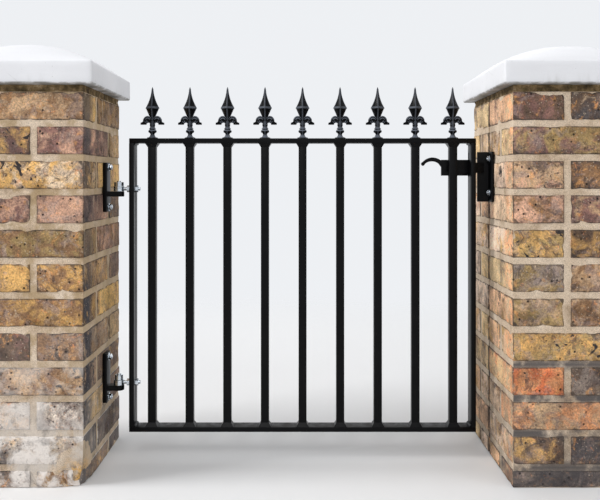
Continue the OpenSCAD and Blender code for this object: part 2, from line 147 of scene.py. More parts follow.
class Finish(Nodes):
    """A material built on a Principled shader, with patterns on Object coordinates."""

    def __init__(self, name, metallic=0.0, specular=0.5):
        self.material = bpy.data.materials.new(name)
        self.material.use_nodes = True
        super().__init__(self.material.node_tree)
        self.shader = self.find("BSDF_PRINCIPLED")
        self.shader.inputs["Metallic"].default_value = metallic
        self.shader.inputs["Specular IOR Level"].default_value = specular
        self.place = self.node("ShaderNodeTexCoord", output="Object")
        self.base = None

    def set(self, name, value):
        """Feeds one of the shader's sockets."""
        self.feed(self.shader.inputs[name], value)

    def stretched(self, factors):
        """Object coordinates, scaled along each axis."""
        return self.node("ShaderNodeMapping", {}, {"Vector": self.place, "Scale": factors})

    def noise(self, scale, detail=3.0, roughness=0.55, distortion=0.0, place=None):
        return self.node("ShaderNodeTexNoise", {}, {
            "Vector": place or self.place, "Scale": scale, "Detail": detail,
            "Roughness": roughness, "Distortion": distortion})

    def cells(self, scale, feature="F1"):
        return self.node("ShaderNodeTexVoronoi", {"feature": feature}, {
            "Vector": self.place, "Scale": scale})

    def attribute(self, name, output="Fac"):
        return self.node("ShaderNodeAttribute", {"attribute_name": name}, {}, output)

    def mix(self, share, first, second, blend="MIX"):
        return self.node("ShaderNodeMix", {"data_type": "RGBA", "blend_type": blend},
                         {0: share, 6: first, 7: second}, 2)

    def cover(self, share, colour, blend="MIX"):
        """Lays a colour over the base colour by its share."""
        self.base = self.mix(share, self.base, colour, blend)

    def ramp(self, share, *stops):
        """A colour ramp through stops of a position and a colour."""
        return self.node("ShaderNodeValToRGB", {"stops": stops}, {"Fac": share})

    def axis(self, name):
        """The place along one axis, in metres."""
        return self.node("ShaderNodeSeparateXYZ", {}, {0: self.place}, name)

    def facing(self, axis):
        """How far a face is turned towards one axis, from -1 to 1."""
        normal = self.node("ShaderNodeNewGeometry", output="Normal")
        return self.node("ShaderNodeSeparateXYZ", {}, {0: normal}, axis)

    def finished(self, roughness, height, distance):
        """Feeds the base colour, the roughness and the relief, and returns the material."""
        self.set("Base Color", self.base)
        self.set("Roughness", roughness)
        self.set("Normal", self.node("ShaderNodeBump", {}, {
            "Height": height, "Distance": distance}))
        return self.material


# Sizes and colours that a user would change

class PierSettings(PropertyGroup):
    brick_height: FloatProperty(
        name="Brick height", description="Height of one brick", default=65 * MM,
        min=0.05, max=0.08, subtype="DISTANCE")
    joint: FloatProperty(
        name="Joint", description="Thickness of the mortar joints", default=13.4 * MM,
        min=0.006, max=0.018, subtype="DISTANCE")
    cell: FloatProperty(
        name="Brick mesh size", description="Size of the cells that shape a brick's worn faces",
        default=12.5 * MM, min=0.008, max=0.03, subtype="DISTANCE")
    wear: FloatProperty(
        name="Brick wear", description="Depth that a brick's arrises are worn back",
        default=3.2 * MM, min=0.0, max=0.008, subtype="DISTANCE")
    mortar_depth: FloatProperty(
        name="Mortar depth", description="Depth of the mortar behind the brick faces",
        default=2.8 * MM, min=0.0, max=0.008, subtype="DISTANCE")
    seed: IntProperty(
        name="Seed", description="Chooses the bricks' colours and wear", default=7, min=0)


class CapSettings(PropertyGroup):
    colour: FloatVectorProperty(
        name="Cap paint", description="Colour of the painted caps", subtype="COLOR",
        default=(0.80, 0.80, 0.82), min=0, max=1)
    arris: FloatProperty(
        name="Arris", description="Radius of the caps' worn edges", default=5 * MM,
        min=0.001, max=0.012, subtype="DISTANCE")


class IronSettings(PropertyGroup):
    colour: FloatVectorProperty(
        name="Black paint", description="Colour of the ironwork's paint", subtype="COLOR",
        default=(0.0025, 0.0026, 0.003), min=0, max=1)
    arris: FloatProperty(
        name="Bar arris", description="Radius of the rolled bars' edges", default=1.2 * MM,
        min=0.0002, max=0.003, subtype="DISTANCE")
    weld: FloatProperty(
        name="Weld bead", description="Radius of the weld beads in the frame's corners",
        default=4.5 * MM, min=0.001, max=0.008, subtype="DISTANCE")


class FixingSettings(PropertyGroup):
    flats: FloatProperty(
        name="Nut width", description="Width of the nuts over their flats",
        default=13 * MM, min=0.008, max=0.02, subtype="DISTANCE")
    head: FloatProperty(
        name="Nut height", description="Height of the nuts on the hinge plates", default=6.5 * MM,
        min=0.003, max=0.008, subtype="DISTANCE")
    spacing: FloatProperty(
        name="Bolt spacing", description="Distance between a hinge plate's two bolts",
        default=100 * MM, min=0.06, max=0.11, subtype="DISTANCE")


# Finishes

def add_chalk(f, turned, chalk, grime):
    """Chalk, thin on the faces in the gateway, then grime; each is a share and a colour."""
    spread = f.attribute("chalk")
    pale = spread * f.noise(13, 5, 0.66, 0.4).step(0.38, 0.54) * (1 - 0.85 * turned)
    f.cover(pale * chalk[0], chalk[1])
    f.cover(spread * f.noise(11, 5, 0.68, 0.6).step(0.53, 0.63) * grime[0], grime[1])


def brick_finish():
    """Mottled stock brick, with films, lime, soot and chalk by each brick's attributes."""
    f = Finish("worn_stock_brick", specular=0.2)
    f.base = f.mix(f.noise(19, 6, 0.66, 0.7).step(0.42, 0.60),
                   f.attribute("tone_a", "Color"), f.attribute("tone_b", "Color"))
    ember = f.noise(31, 5, 0.70, 0.9).step(0.56, 0.66)
    f.cover(ember * 0.62, (0.74, 0.37, 0.14))
    ash = f.noise(27, 6, 0.72, 1.0).step(0.51, 0.60) * f.noise(9, 3, 0.6).step(0.34, 0.58)
    f.cover(ash * 0.72, (0.10, 0.076, 0.076))
    pale = f.noise(38, 5, 0.72, 0.6).step(0.60, 0.70)
    f.cover(pale * 0.55, (0.66, 0.50, 0.35))
    mauve = f.noise(23, 5, 0.68, 0.8).step(0.51, 0.62)
    f.cover(mauve * 0.5, (0.36, 0.28, 0.265))
    crumbs = f.noise(54, 5, 0.72, 0.5).step(0.60, 0.68)
    f.cover(crumbs * 0.6, (0.80, 0.34, 0.15))
    turned = (f.facing("X") * f.attribute("inner")).step(0.6, 0.9)
    film = f.noise(15, 5, 0.66, 0.5).step(0.34, 0.56) * f.attribute("film")
    f.cover(turned * film, f.attribute("film_tone", "Color"))
    drips = f.noise(1, 4, 0.6, place=f.stretched((70, 70, 7))).step(0.58, 0.70)
    f.cover(turned * drips * 0.55, (0.86, 0.74, 0.58))
    front = f.axis("Y").step(FRONT + 95 * MM, FRONT + 40 * MM)
    front = front * f.noise(12, 5, 0.66, 0.6).step(0.34, 0.48)
    mottled = f.mix(f.noise(34, 4, 0.7).step(0.44, 0.58), (0.92, 0.50, 0.28), (0.70, 0.52, 0.34))
    edge_tone = f.mix(f.attribute("inner").step(-0.5, 0.5), mottled, (0.075, 0.072, 0.085))
    stained = f.attribute("film").most(f.axis("Z").step(STAINED_FROM, STAINED_TO))
    f.cover(turned * front * (0.4 + 0.6 * stained), edge_tone)
    clouds = f.noise(14, 5, 0.7)
    grain = f.noise(250, 6, 0.78)
    broad = f.ramp(clouds, (0.34, (0.48, 0.45, 0.42)), (0.50, (0.98, 0.96, 0.93)),
                   (0.66, (1.42, 1.36, 1.22)))
    f.cover(0.85, broad, "MULTIPLY")
    fine = f.ramp(grain, (0.34, (0.48, 0.45, 0.44)), (0.50, (1.0, 1.0, 1.0)),
                  (0.66, (1.52, 1.46, 1.36)))
    f.cover(0.9, fine, "MULTIPLY")
    burn = f.noise(34, 3, 0.6, 0.9).step(0.60, 0.65) * f.noise(9, 2).step(0.42, 0.54)
    f.cover(burn * f.attribute("burn"), (0.045, 0.038, 0.038))
    edge = f.attribute("rim")
    rim = edge.step(0.35, 0.95)
    # Dark patches on the rim: partly dark worn arrises, partly painted shade of the recessed joints
    f.cover(rim * f.noise(40, 4, 0.7).step(0.50, 0.62) * 0.8, (0.09, 0.068, 0.055))
    f.cover(rim * f.noise(47, 4, 0.7).step(0.56, 0.66) * 0.7, (0.58, 0.46, 0.34))
    # Thin dark line at a brick's very edge: painted shadow of the recessed mortar joints
    line = edge.step(0.70, 0.86) * f.noise(36, 4, 0.65).step(0.36, 0.54)
    f.cover(line * 0.8, (0.070, 0.054, 0.044))
    spots = f.cells(62).step(0.19, 0.09) * f.noise(21, 2).step(0.42, 0.54)
    f.cover(spots * 0.9, (0.022, 0.018, 0.017))
    flecks = f.cells(135).step(0.24, 0.12) * f.noise(33, 2).step(0.46, 0.58)
    f.cover(flecks * 0.65, (0.66, 0.54, 0.41))
    lime = f.noise(30, 5, 0.7, 0.3).step(0.60, 0.74) * f.attribute("lime")
    f.cover(lime * 0.7, (0.62, 0.52, 0.41))
    soot = f.attribute("soot") * f.noise(16, 4, 0.65).step(0.30, 0.60)
    f.cover(soot * 0.85, (0.075, 0.068, 0.07))
    add_chalk(f, turned, (0.9, (0.92, 0.85, 0.79)), (0.42, (0.10, 0.092, 0.095)))
    pits = f.cells(230).step(0.26, 0.08) * f.noise(60, 2).step(0.42, 0.60)
    return f.finished(
        0.80 + 0.16 * grain,
        0.7 * grain + 1.3 * f.noise(80, 4, 0.70) - 0.9 * pits - 1.6 * spots,
        3.4 * MM)


def mortar_finish():
    """Sandy lime mortar, darker beds low on the right front, dirt and crumbs by attributes."""
    f = Finish("lime_mortar", specular=0.15)
    grain = f.noise(520, 3, 0.7)
    f.base = f.ramp(f.noise(14, 5, 0.65), (0.30, (0.48, 0.36, 0.25)),
                    (0.45, (0.70, 0.56, 0.42)), (0.66, (0.82, 0.69, 0.55)))
    fine = f.ramp(grain, (0.34, (0.60, 0.57, 0.54)), (0.66, (1.32, 1.30, 1.28)))
    f.cover(0.8, fine, "MULTIPLY")
    cracks = f.noise(70, 5, 0.75, 1.0).step(0.62, 0.70)
    f.cover(cracks * 0.55, (0.20, 0.15, 0.11))
    ochre = f.noise(22, 4, 0.6).step(0.42, 0.60) * f.attribute("ochre")
    f.cover(ochre * 0.70, (0.40, 0.27, 0.13))
    turned = f.facing("X").step(0.6, 0.9)
    dusk = f.noise(13, 5, 0.66).step(0.34, 0.58) * f.attribute("dusk")
    f.cover(turned * dusk, (0.66, 0.50, 0.32))
    slate = f.attribute("slate") * f.facing("Y").step(-0.5, -0.8)
    f.cover(slate * f.noise(18, 4).step(0.30, 0.52) * 0.9, (0.075, 0.072, 0.08))
    soot = f.attribute("soot") * f.noise(18, 4).step(0.30, 0.60)
    f.cover(soot * 0.8, (0.10, 0.09, 0.085))
    add_chalk(f, turned, (0.85, (0.66, 0.61, 0.56)), (0.6, (0.12, 0.11, 0.105)))
    rubble = f.attribute("rubble") * f.noise(55, 4, 0.7).step(0.36, 0.56)
    crumbs = f.mix(f.noise(90, 4, 0.7).step(0.44, 0.56), (0.24, 0.15, 0.08), (0.74, 0.42, 0.12))
    f.cover(rubble * 0.9, crumbs)
    return f.finished(0.92, grain + 1.5 * f.noise(110, 4, 0.7), 1.6 * MM)


def bed_finish():
    """Dark, damp mortar with moss, under the caps."""
    f = Finish("mossy_bed", specular=0.2)
    f.base = f.ramp(f.noise(38, 5, 0.7), (0.30, (0.035, 0.026, 0.015)),
                    (0.46, (0.13, 0.088, 0.042)), (0.58, (0.30, 0.20, 0.10)),
                    (0.70, (0.52, 0.43, 0.31)))
    moss = f.noise(70, 3, 0.6).step(0.54, 0.68)
    f.cover(moss * 0.4, (0.085, 0.080, 0.022))
    return f.finished(0.95, f.noise(300, 4, 0.75) + 1.4 * f.noise(90, 3), 2.0 * MM)


def cap_finish(colour):
    """Pale masonry paint with stains and painted shade under the overhang, streaks, specks and fine
    cracks.
    """
    f = Finish("cap_paint", specular=0.35)
    clouds = f.noise(5, 4, 0.55)
    f.base = f.mix(clouds.step(0.35, 0.7), tuple(c * 0.965 for c in colour), colour)
    # Downward faces: partly stains, partly painted shade
    under = f.facing("Z").step(-0.05, -0.6)
    streaks = f.noise(1, 4, 0.6, place=f.stretched((42, 42, 5))).step(0.50, 0.78)
    height = f.axis("Z")
    low = height.step(CAP_FOOT + 29 * MM, CAP_FOOT + MM)
    f.cover(streaks * low * 0.38, (0.34, 0.33, 0.29))
    # Darkens the undersides: stains and painted shade
    f.cover(under * f.noise(24, 4).step(0.34, 0.6) * 0.7, (0.13, 0.12, 0.09))
    rim = height.step(CAP_FOOT + 4.5 * MM, CAP_FOOT + 0.2 * MM)
    rim = rim * f.noise(55, 4, 0.7).step(0.34, 0.58)
    f.cover(rim * 0.55, (0.10, 0.09, 0.07))
    specks = f.cells(95).step(0.11, 0.05) * f.noise(17, 2).step(0.52, 0.62)
    f.cover(specks * 0.5, (0.30, 0.29, 0.27))
    cracks = f.cells(9, "DISTANCE_TO_EDGE").step(0.010, 0.002) * f.noise(7, 2).step(0.52, 0.6)
    f.cover(cracks * 0.2, (0.42, 0.41, 0.40))
    trowel = f.noise(1, 3, 0.5, place=f.stretched((16, 70, 70)))
    return f.finished(
        0.46 + 0.2 * f.noise(40, 3),
        0.7 * trowel + 0.4 * f.noise(160, 4, 0.6) - 0.35 * cracks,
        1.0 * MM)


def iron_finish(colour):
    """Brushed black paint of the bars, with dusty grey on top that is partly a painted sheen, and
    small rusty chips.
    """
    f = Finish("black_iron_paint", specular=0.10)
    clouds = f.noise(11, 4, 0.6)
    # Paler upward faces: a dusty film in part, a painted sheen in part
    dust_and_sheen = f.facing("Z").step(0.55, 0.95) * f.noise(48, 4, 0.6).step(0.36, 0.66)
    f.base = f.mix(clouds.step(0.4, 0.7), colour, tuple(c * 1.5 for c in colour))
    f.cover(dust_and_sheen * 0.35, (0.075, 0.072, 0.066))
    chips = f.noise(210, 3, 0.7).step(0.755, 0.80) * f.noise(20, 2).step(0.55, 0.7)
    f.cover(chips * 0.7, (0.07, 0.035, 0.02))
    brush = f.noise(1, 3, 0.55, place=f.stretched((420, 420, 26)))
    return f.finished(
        0.25 + 0.16 * clouds + 0.3 * dust_and_sheen,
        0.35 * brush + 0.5 * f.noise(75, 3, 0.5) + 0.25 * f.noise(380, 3) - 0.5 * chips,
        0.45 * MM)


def casting_finish(colour):
    """Black paint of the railheads, with painted highlights of sky reflection on upward faces,
    round the spear's widest part and along the arrises.
    """
    f = Finish("black_casting_paint", specular=0.06)
    clouds = f.noise(14, 4, 0.6)
    f.base = f.mix(clouds.step(0.4, 0.7), colour, tuple(c * 1.4 for c in colour))
    height = f.axis("Z") - RAILHEAD_FOOT
    spear = height.step(56 * MM, 60 * MM)
    up = f.facing("Z")
    # Painted highlights: a pale base colour where the sky would reflect on upward faces, the
    # spear's widest part and its arrises
    ledge_highlight = (0.7 * up.step(0.40, 0.52)).most(up.step(0.05, 0.34) * (1 - spear))
    band_highlight = height.step(74.6 * MM, 75.4 * MM) * height.step(81.2 * MM, 79.4 * MM)
    front = abs(f.attribute("across")).step(2.4 * MM, 0.9 * MM)
    sides = abs(f.attribute("deep")).step(2.0 * MM, 0.8 * MM)
    arrises = (0.45 * front).most(0.4 * sides * spear)
    pale = ledge_highlight.most(arrises).most(0.62 * band_highlight)
    pale = pale * (0.5 + 0.5 * f.noise(55, 4, 0.65).step(0.25, 0.55))
    # Lays the painted highlight colour
    f.cover(pale, (0.128, 0.142, 0.168))
    return f.finished(
        0.18 + 0.1 * clouds + 0.3 * pale,
        0.4 * f.noise(75, 3, 0.5) + 0.3 * f.noise(300, 3),
        0.14 * MM)


def zinc_finish():
    """Zinc plating, with painted shade underneath and a painted highlight on top."""
    f = Finish("zinc_plate", metallic=1.0)
    clouds = f.noise(130, 4, 0.6)
    f.base = f.ramp(clouds, (0.30, (0.46, 0.50, 0.55)), (0.50, (0.61, 0.66, 0.71)),
                    (0.68, (0.79, 0.84, 0.89)))
    grime = f.noise(320, 3, 0.6).step(0.60, 0.72)
    f.cover(grime * 0.4, (0.10, 0.10, 0.10))
    up = f.facing("Z")
    # Painted shade on downward faces
    f.cover(up.step(0.15, -0.45) * 0.75, (0.075, 0.080, 0.088))
    # Painted highlight on upward faces
    f.cover(up.step(0.45, 0.90) * 0.6, (0.86, 0.90, 0.93))
    return f.finished(0.16 + 0.14 * clouds + 0.2 * grime, f.noise(700, 3, 0.6), 0.1 * MM)


FINISHES = {}


def finish(name):
    """A shared material by name; they are made together, the first time that one is needed."""
    if not FINISHES:
        scene = bpy.context.scene
        black = tuple(scene.gate_iron.colour)
        FINISHES.update(
            brick=brick_finish(), mortar=mortar_finish(), bed=bed_finish(),
            cap=cap_finish(tuple(scene.gate_caps.colour)),
            iron=iron_finish(black), casting=casting_finish(black), zinc=zinc_finish())
    return FINISHES[name]


# Mesh helpers

def add_object(name, bm, material):
    """Turns a bmesh into an object of the scene."""
    mesh = bpy.data.meshes.new(name)
    bm.to_mesh(mesh)
    bm.free()
    mesh.materials.append(material)
    added = bpy.data.objects.new(name, mesh)
    bpy.context.scene.collection.objects.link(added)
    return added


def make_piece(name, bm, material, body, slot, smooth, *replaced):
    """Turns a bmesh into a piece that rides on a body; edges past smooth degrees stay sharp."""
    bmesh.ops.remove_doubles(bm, verts=bm.verts, dist=1e-6)
    bmesh.ops.recalc_face_normals(bm, faces=bm.faces)
    for face in bm.faces:
        face.smooth = True
    for edge in bm.edges:
        if edge.calc_face_angle(0.0) > math.radians(smooth):
            edge.smooth = False
    piece = add_object(name, bm, material)
    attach(piece, body)
    if replaced:
        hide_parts(*replaced)


def add_box(bm, low, high):
    """Adds a box between two corners and returns its vertices."""
    place = Matrix.Translation((low + high) / 2) @ Matrix.Diagonal((*(high - low), 1))
    return bmesh.ops.create_cube(bm, size=1, matrix=place)["verts"]


def slice_up(bm, low, high, cell):
    """Cuts everything in the bmesh into cells of about the given size."""
    for axis in range(3):
        count = max(1, round((high[axis] - low[axis]) / cell))
        across = Vector((axis == 0, axis == 1, axis == 2))
        for i in range(1, count):
            at = across * (low[axis] + (high[axis] - low[axis]) * i / count)
            bmesh.ops.bisect_plane(bm, geom=bm.verts[:] + bm.edges[:] + bm.faces[:],
                                   plane_co=at, plane_no=across, dist=1e-6)


def join_into(bm, part):
    """Moves one bmesh into another and frees it."""
    mesh = bpy.data.meshes.new("join")
    part.to_mesh(mesh)
    part.free()
    bm.from_mesh(mesh)
    bpy.data.meshes.remove(mesh)


def round_edges(bm, radius, segments=2, angle=25.0, edges=None):
    """Rounds every edge, or those given, that turns by more than the angle, in degrees."""
    edges = [e for e in edges or bm.edges if e.calc_face_angle(0.0) > math.radians(angle)]
    bmesh.ops.bevel(bm, geom=edges, offset=radius, segments=segments, profile=0.5,
                    affect="EDGES", material=-1, clamp_overlap=True)


def add_round(bm, segments, base, top, depth, place):
    """Adds a closed cylinder or cone along the Z of its place and returns its vertices."""
    return bmesh.ops.create_cone(bm, cap_ends=True, segments=segments, radius1=base, radius2=top,
                                 depth=depth, matrix=place)["verts"]


def edges_of(verts):
    """The edges at some vertices, each once and in the same order every run."""
    return list(dict.fromkeys(e for v in verts for e in v.link_edges))


def roughen(bm, depth, scale):
    """Moves each point by up to a depth, by smooth noise that is the same every run."""
    for vert in bm.verts:
        place = vert.co * scale
        vert.co += depth * Vector([noise.noise(place + Vector((31.7 * i, 0, 0))) for i in range(3)])


# Brick piers

TONES = {
    "ochre": (0.60, 0.36, 0.14), "gold": (0.74, 0.45, 0.17), "buff": (0.62, 0.42, 0.26),
    "olive": (0.40, 0.28, 0.13), "brown": (0.31, 0.18, 0.10), "umber": (0.16, 0.105, 0.075),
    "plum": (0.27, 0.15, 0.13), "rose": (0.66, 0.40, 0.29), "grey": (0.29, 0.235, 0.205),
    "char": (0.12, 0.105, 0.108), "orange": (0.92, 0.42, 0.20), "red": (0.92, 0.26, 0.11),
    "pale": (0.74, 0.66, 0.60), "cream": (0.80, 0.62, 0.44),
}
MIXES = [
    "ochre brown", "ochre buff", "buff rose", "olive ochre", "brown olive", "gold brown",
    "plum brown", "umber buff", "buff ochre", "grey brown", "brown grey", "rose brown",
    "umber grey", "ochre grey",
]
# Course from the top, place in the course: two tones
LEFT_TONES = {
    (0, 0): "buff brown", (0, 3): "ochre brown", (1, 0): "plum rose", (1, 3): "gold plum",
    (2, 0): "gold cream", (3, 0): "rose rose", (3, 3): "plum rose", (4, 0): "brown olive",
    (5, 0): "ochre brown", (5, 3): "gold ochre", (6, 0): "ochre brown", (7, 0): "brown grey",
    (7, 3): "umber plum", (8, 0): "buff brown", (9, 0): "pale grey", (9, 3): "pale buff",
    (10, 0): "pale cream", (11, 0): "brown ochre",
}
RIGHT_TONES = {
    (0, 0): "umber plum", (0, 1): "char umber", (1, 0): "olive plum", (2, 0): "rose buff",
    (2, 1): "umber brown", (3, 0): "rose brown", (3, 1): "plum buff", (4, 0): "olive gold",
    (4, 1): "umber ochre", (5, 0): "grey olive", (5, 1): "buff brown", (6, 0): "olive buff",
    (6, 1): "brown buff", (7, 0): "ochre olive", (8, 0): "red orange", (8, 1): "umber grey",
    (9, 0): "buff orange", (10, 0): "umber gold", (10, 1): "char umber", (11, 0): "grey char",
}
# Films of dirt or lime on the faces in the gateway, for the left and the right pier
FILMS = {
    -1: [(0.07, 0.062, 0.075), (0.17, 0.12, 0.10), (1.0, 0.66, 0.24), (0.66, 0.47, 0.26)],
    1: [(1.0, 0.74, 0.52), (1.0, 0.63, 0.40), (1.0, 0.79, 0.64), (0.92, 0.69, 0.40)],
}
# Bricks burnt dark: side, course, place in the course
BURNT = {(1, 7, 0), (1, 2, 0), (1, 4, 0), (-1, 2, 0), (-1, 1, 3), (-1, 0, 3), (-1, 8, 0)}
# The left pier is -1 and the right pier 1: its node, its bricks' tones, the width of half a brick,
# how light the bricks are, the range of their film, and soot and chalk near the ground
PIERS = {
    -1: {"node": "left_pier", "tones": LEFT_TONES, "half": 109 * MM, "light": 1.07,
         "film": (0.3, 0.95), "soot": 0.3, "chalk": 1.0, "mortar_soot": 0.25},
    1: {"node": "right_pier", "tones": RIGHT_TONES, "half": 119 * MM, "light": 1.02,
        "film": (0.65, 1.0), "soot": 0.5, "chalk": 0.0, "mortar_soot": 0.6},
}
# Depth of the right pier's front part, its straight joint, and half a brick's width behind that
FRONT_PART = 222 * MM
STRAIGHT_JOINT = 9 * MM
REAR_HALF = 104 * MM
# Courses whose header stands in the second place, and courses with dark beds, on the right pier
STRETCHER_COURSES = (1, 7, 9, 11)
DARK_BEDS = (8, 9, 10, 11)
# A sliver of brick lower than this isn't laid
LEAST_COURSE = 4 * MM
# Depth by which bricks stand out of line
UNEVEN = 0.9 * MM
# Width of a brick's worn rim, and how near a face its points wear back with it
RIM = 10 * MM
SKIN = 4 * MM
# Height over which dirt fades up the piers
DAMP = 240 * MM
# The left pier's front corner has crumbled, in bricks that start below this height
CRUMBLED_BELOW = 90 * MM
CRUMBLE_REACH = 75 * MM
# Heights of the middle of that hollow, for the bricks and for the mortar
BRICK_HOLLOW, MORTAR_HOLLOW = 35 * MM, 5 * MM
# Half the height of a dark bed's tone
DARK_REACH = 16 * MM
# How far the filling of the straight joint lies within the pier, and overlaps its two parts
FILLING_INSET, FILLING_OVERLAP = 6 * MM, 4 * MM
# Cells that mortar, beds and caps are cut into
MORTAR_CELL, BED_CELL, CAP_CELL = 9 * MM, 8 * MM, 14 * MM
# Height of a cap's upright edge
CAP_EDGE = 53 * MM
# A point this near a face lies on it
ON_FACE = 0.01 * MM


def damp(level, full):
    """How dirty a place is: 1 near the ground and 0 well above it."""
    return max(0.0, min(1.0, full - level / DAMP))


def ring_course(width, depth, half, joint, header_first):
    """Four bricks round a hollow middle, each as (u0, u1, v0, v1) from the inner front corner."""
    step = half + joint
    if header_first:
        return [(0, half, 0, depth - step), (0, width - step, depth - half, depth),
                (width - half, width, step, depth), (step, width, 0, half)]
    return [(0, width - step, 0, half), (0, half, step, depth),
            (step, width, depth - half, depth), (width - half, width, 0, depth - step)]


def flat_course(width, v0, v1, half, joint, header_first):
    """One brick running back and two running across, over a part from v0 to v1."""
    middle = (v0 + v1) / 2
    if header_first:
        return [(0, half, v0, v1), (half + joint, width, v0, middle - joint / 2),
                (half + joint, width, middle + joint / 2, v1)]
    edge = width - half
    return [(0, edge - joint, v0, middle - joint / 2), (edge, width, v0, v1),
            (0, edge - joint, middle + joint / 2, v1)]


def add_brick(target, low, high, settings, marks, rng, broken=None):
    """One worn brick: a box cut into cells, with eroded arrises and uneven faces.

    Where broken gives a corner, the brick crumbles back around it.
    """
    part = bmesh.new()
    add_box(part, low, high)
    slice_up(part, low, high, settings.cell)
    round_edges(part, rng.uniform(1.2, 2.4) * MM)
    drift = Vector((rng.uniform(-9, 9), rng.uniform(-9, 9), rng.uniform(-9, 9)))
    wear = settings.wear * rng.uniform(0.4, 1.2)
    middle = (low + high) / 2
    rim = part.verts.layers.float.new("rim")
    for vert in part.verts:
        inside = [min(vert.co[i] - low[i], high[i] - vert.co[i]) for i in range(3)]
        edge = max(0.0, 1.0 - sorted(inside)[1] / RIM)
        vert[rim] = edge
        place = vert.co + drift
        rough = 0.5 + 0.5 * noise.noise(place * 55.0)
        chip = max(0.0, noise.noise(place * 30.0) - 0.22)
        depth = 0.9 * MM * rough + edge * wear * (0.22 * rough + 2.0 * chip)
        for i in range(3):
            if inside[i] < SKIN:
                vert.co[i] += math.copysign(depth, middle[i] - vert.co[i])
        if broken:
            near = max(0.0, 1.0 - (vert.co - broken).length / CRUMBLE_REACH)
            crumb = near * (16 + 12 * noise.noise(place * 40.0)) * MM
            vert.co.x += crumb * math.copysign(1, middle.x - broken.x)
            vert.co.y += crumb
    for name, value in marks.items():
        if isinstance(value, tuple):
            layer = part.verts.layers.float_color.new(name)
            value = (*value, 1.0)
        else:
            layer = part.verts.layers.float.new(name)
        for vert in part.verts:
            vert[layer] = value
    join_into(target, part)


def pier_course(side, number, width, depth, joint):
    """The bricks of one course, counted from the top, each as (u0, u1, v0, v1)."""
    half = PIERS[side]["half"]
    odd = number % 2 == 1
    if side < 0:
        return ring_course(width, depth, half, joint, odd)
    rear = FRONT_PART + STRAIGHT_JOINT
    return (flat_course(width, 0, FRONT_PART, half, joint, number not in STRETCHER_COURSES)
            + flat_course(width, rear, depth, REAR_HALF, joint, not odd))


def build_pier(side, settings):
    """Bricks, then mortar, of one pier."""
    pier = PIERS[side]
    node = pier["node"]
    low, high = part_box(node)
    inner = high.x if side < 0 else low.x
    rng = random.Random(settings.seed + side)
    bricks = bmesh.new()
    top = high.z
    number = 0
    while top > LEAST_COURSE:
        bottom = max(0.0, top - settings.brick_height)
        dirt = damp(bottom, 1.25)
        course = pier_course(side, number, high.x - low.x, high.y - low.y, settings.joint)
        for place, (u0, u1, v0, v1) in enumerate(course):
            xs = sorted((inner + side * u0, inner + side * u1))
            start = Vector((xs[0], low.y + v0, bottom))
            end = Vector((xs[1], low.y + v1, top))
            if v0 == 0:
                start.y += rng.uniform(0.0, UNEVEN)
            if u0 == 0:
                face = end if side < 0 else start
                face.x += side * rng.uniform(0.0, UNEVEN)
            first, second = pier["tones"].get((number, place), rng.choice(MIXES)).split()
            tint = rng.uniform(0.88, 1.12) * pier["light"]
            marks = {
                "tone_a": tuple(c * tint for c in TONES[first]),
                "tone_b": tuple(c * tint for c in TONES[second]),
                "lime": rng.uniform(0.2, 0.9),
                "burn": 1.0 if (side, number, place) in BURNT else rng.uniform(0.0, 0.7),
                "inner": -side,
                "film": rng.uniform(*pier["film"]),
                "film_tone": rng.choice(FILMS[side]),
                "soot": pier["soot"] * dirt + (0.4 if rng.random() < 0.08 else 0.0),
                "chalk": pier["chalk"] * dirt,
            }
            at_corner = side < 0 and u0 == 0 and v0 == 0 and bottom < CRUMBLED_BELOW
            broken = Vector((inner, low.y, BRICK_HOLLOW)) if at_corner else None
            add_brick(bricks, start, end, settings, marks, rng, broken)
        top = bottom - settings.joint
        number += 1
    make_piece(f"{node}_bricks", bricks, finish("brick"), "posts", "brick", 50, node)
    build_mortar(side, settings, low, high)


def mortar_blocks(side, inset, low, high):
    """Corners of one pier's blocks of mortar; the last of the right pier fills its joint."""
    joint = low.y + FRONT_PART
    behind = joint + STRAIGHT_JOINT
    spans = [(low.y, high.y)] if side < 0 else [(low.y, joint), (behind, high.y)]
    blocks = [(Vector((low.x + inset, y0 + inset, 0)), Vector((high.x - inset, y1 - inset, high.z)))
              for y0, y1 in spans]
    if side > 0:
        blocks.append((Vector((low.x + FILLING_INSET, joint - FILLING_OVERLAP, 0)),
                       Vector((high.x - FILLING_INSET, behind + FILLING_OVERLAP, high.z - MM))))
    return blocks


